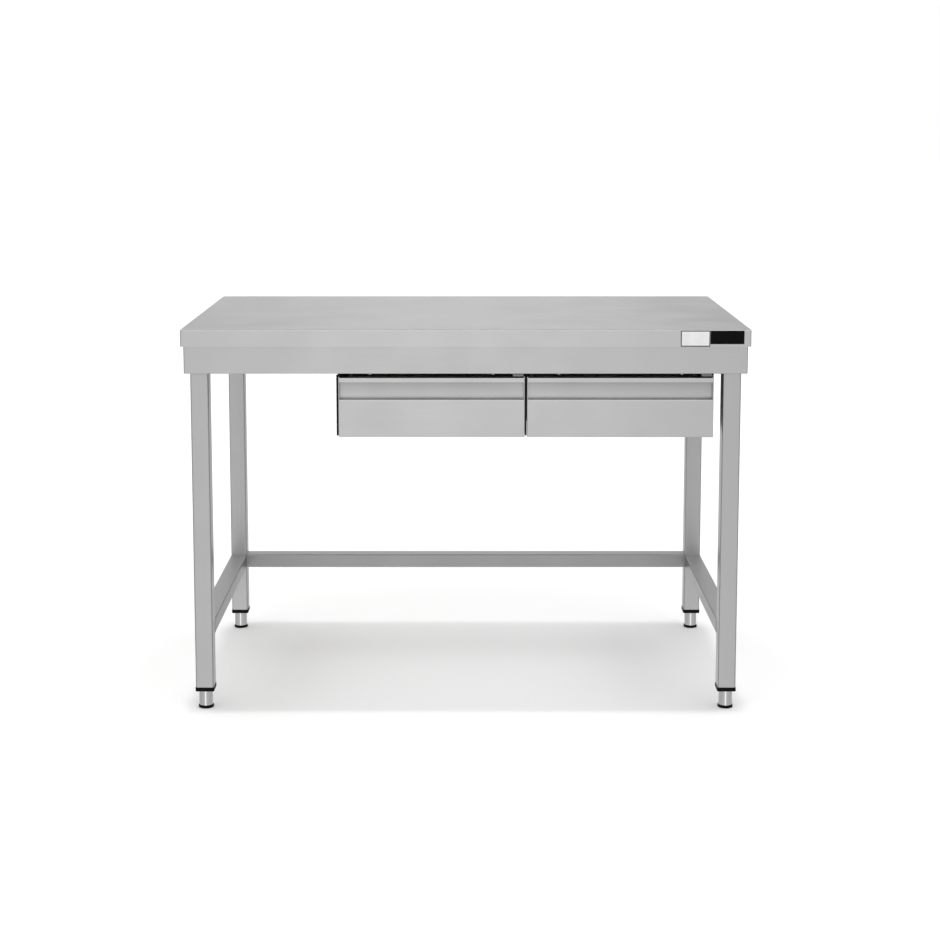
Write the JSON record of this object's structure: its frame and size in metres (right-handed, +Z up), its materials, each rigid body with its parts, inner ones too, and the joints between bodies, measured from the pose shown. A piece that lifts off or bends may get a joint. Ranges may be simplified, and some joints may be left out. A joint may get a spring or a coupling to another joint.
{
  "type": "stainless work table",
  "caption": "Stainless kitchen work table with a flat folded top, an apron, square legs on adjustable feet, low rails at the back and sides, and drawers hung under the front.",
  "frame": {"origin": "on the floor under the centre of the top's footprint", "axes": "+X to the right along the length, +Y towards the back (the drawers open towards -Y), +Z up"},
  "size_m": [1.25, 0.7006, 0.864],
  "materials": {
    "worktop_steel": "fine brushed satin, grain along the length",
    "frame_steel": "brushed satin, grain along each tube",
    "bracket_steel": "mill finish",
    "core_board": "raw pressed board",
    "fastener_steel": "bright zinc",
    "black_nylon": "moulded satin black",
    "foot_steel": "turned and brushed round the sleeve",
    "zinc_steel": "zinc plated thread",
    "black_painted_steel": "black powder coat",
    "bumper_rubber": "matt",
    "runner_steel": "zinc plated",
    "drawer_steel": "fine brushed satin, grain along the length",
    "tray_steel": "satin mill finish",
    "light_plate": "blank pale plate with a dark border",
    "dark_plate": "blank dark plate"
  },
  "bodies": {
    "frame": {"worktop_skin": "worktop_steel", "core_board": "core_board", "board_screws": "fastener_steel", "omega_stiffeners": "bracket_steel", "apron_front": "frame_steel", "apron_rear": "frame_steel", "apron_left": "frame_steel", "apron_right": "frame_steel", "leg_bracket_front_left": "bracket_steel", "leg_bracket_front_right": "bracket_steel", "leg_bracket_rear_left": "bracket_steel", "leg_bracket_rear_right": "bracket_steel", "leg_screws": "fastener_steel", "leg_front_left": "frame_steel", "leg_front_right": "frame_steel", "leg_rear_left": "frame_steel", "leg_rear_right": "frame_steel", "rear_rail": "frame_steel", "left_rail": "frame_steel", "right_rail": "frame_steel", "foot_insert_front_left": "black_nylon", "foot_insert_front_right": "black_nylon", "foot_insert_rear_left": "black_nylon", "foot_insert_rear_right": "black_nylon", "hanger_left": "black_painted_steel", "hanger_centre": "black_painted_steel", "hanger_right": "black_painted_steel", "tie_front": "black_painted_steel", "tie_rear": "black_painted_steel", "drawer_frame_screws": "fastener_steel", "drawer_bumpers": "bumper_rubber", "runner_outer_members": "runner_steel", "light_plate": "light_plate", "dark_plate": "dark_plate"},
    "left_drawer": {"left_drawer_tray": "tray_steel", "left_drawer_front": "drawer_steel", "left_drawer_grip": "drawer_steel", "left_drawer_liner": "tray_steel", "left_drawer_screws": "fastener_steel", "left_runner_inner": "runner_steel"},
    "left_runner": {"left_runner_middle": "runner_steel"},
    "right_drawer": {"right_drawer_tray": "tray_steel", "right_drawer_front": "drawer_steel", "right_drawer_grip": "drawer_steel", "right_drawer_liner": "tray_steel", "right_drawer_screws": "fastener_steel", "right_runner_inner": "runner_steel"},
    "right_runner": {"right_runner_middle": "runner_steel"},
    "front_left_pad": {"foot_pad_front_left": "black_nylon"},
    "front_left_foot_screw": {"foot_stem_front_left": "zinc_steel", "foot_sleeve_front_left": "foot_steel"},
    "front_right_pad": {"foot_pad_front_right": "black_nylon"},
    "front_right_foot_screw": {"foot_stem_front_right": "zinc_steel", "foot_sleeve_front_right": "foot_steel"},
    "rear_left_pad": {"foot_pad_rear_left": "black_nylon"},
    "rear_left_foot_screw": {"foot_stem_rear_left": "zinc_steel", "foot_sleeve_rear_left": "foot_steel"},
    "rear_right_pad": {"foot_pad_rear_right": "black_nylon"},
    "rear_right_foot_screw": {"foot_stem_rear_right": "zinc_steel", "foot_sleeve_rear_right": "foot_steel"}
  },
  "joints": [
    {"name": "left_drawer_slide", "type": "slide", "parent": "frame", "child": "left_drawer", "axis": [0, -1, 0], "range_m": [0, 0.45]},
    {"name": "left_runner_slide", "type": "slide", "parent": "frame", "child": "left_runner", "axis": [0, -1, 0], "range_m": [0, 0.225]},
    {"name": "right_drawer_slide", "type": "slide", "parent": "frame", "child": "right_drawer", "axis": [0, -1, 0], "range_m": [0, 0.45]},
    {"name": "right_runner_slide", "type": "slide", "parent": "frame", "child": "right_runner", "axis": [0, -1, 0], "range_m": [0, 0.225]},
    {"name": "front_left_foot_travel", "type": "slide", "parent": "frame", "child": "front_left_pad", "axis": [0, 0, -1], "range_m": [0, 0.024]},
    {"name": "front_left_foot_turn", "type": "hinge", "parent": "front_left_pad", "child": "front_left_foot_screw", "pos_m": [-0.587, -0.312, 0.02], "axis": [0, 0, 1], "range_deg": [0, 5760]},
    {"name": "front_right_foot_travel", "type": "slide", "parent": "frame", "child": "front_right_pad", "axis": [0, 0, -1], "range_m": [0, 0.024]},
    {"name": "front_right_foot_turn", "type": "hinge", "parent": "front_right_pad", "child": "front_right_foot_screw", "pos_m": [0.587, -0.312, 0.02], "axis": [0, 0, 1], "range_deg": [0, 5760]},
    {"name": "rear_left_foot_travel", "type": "slide", "parent": "frame", "child": "rear_left_pad", "axis": [0, 0, -1], "range_m": [0, 0.024]},
    {"name": "rear_left_foot_turn", "type": "hinge", "parent": "rear_left_pad", "child": "rear_left_foot_screw", "pos_m": [-0.587, 0.312, 0.02], "axis": [0, 0, 1], "range_deg": [0, 5760]},
    {"name": "rear_right_foot_travel", "type": "slide", "parent": "frame", "child": "rear_right_pad", "axis": [0, 0, -1], "range_m": [0, 0.024]},
    {"name": "rear_right_foot_turn", "type": "hinge", "parent": "rear_right_pad", "child": "rear_right_foot_screw", "pos_m": [0.587, 0.312, 0.02], "axis": [0, 0, 1], "range_deg": [0, 5760]}
  ],
  "couplings": [
    {"joint": "left_runner_slide", "follows": "left_drawer_slide", "ratio": 0.5},
    {"joint": "right_runner_slide", "follows": "right_drawer_slide", "ratio": 0.5},
    {"joint": "front_left_foot_travel", "follows": "front_left_foot_turn", "m_per_rad": 0.00023873},
    {"joint": "front_right_foot_travel", "follows": "front_right_foot_turn", "m_per_rad": 0.00023873},
    {"joint": "rear_left_foot_travel", "follows": "rear_left_foot_turn", "m_per_rad": 0.00023873},
    {"joint": "rear_right_foot_travel", "follows": "rear_right_foot_turn", "m_per_rad": 0.00023873}
  ]
}
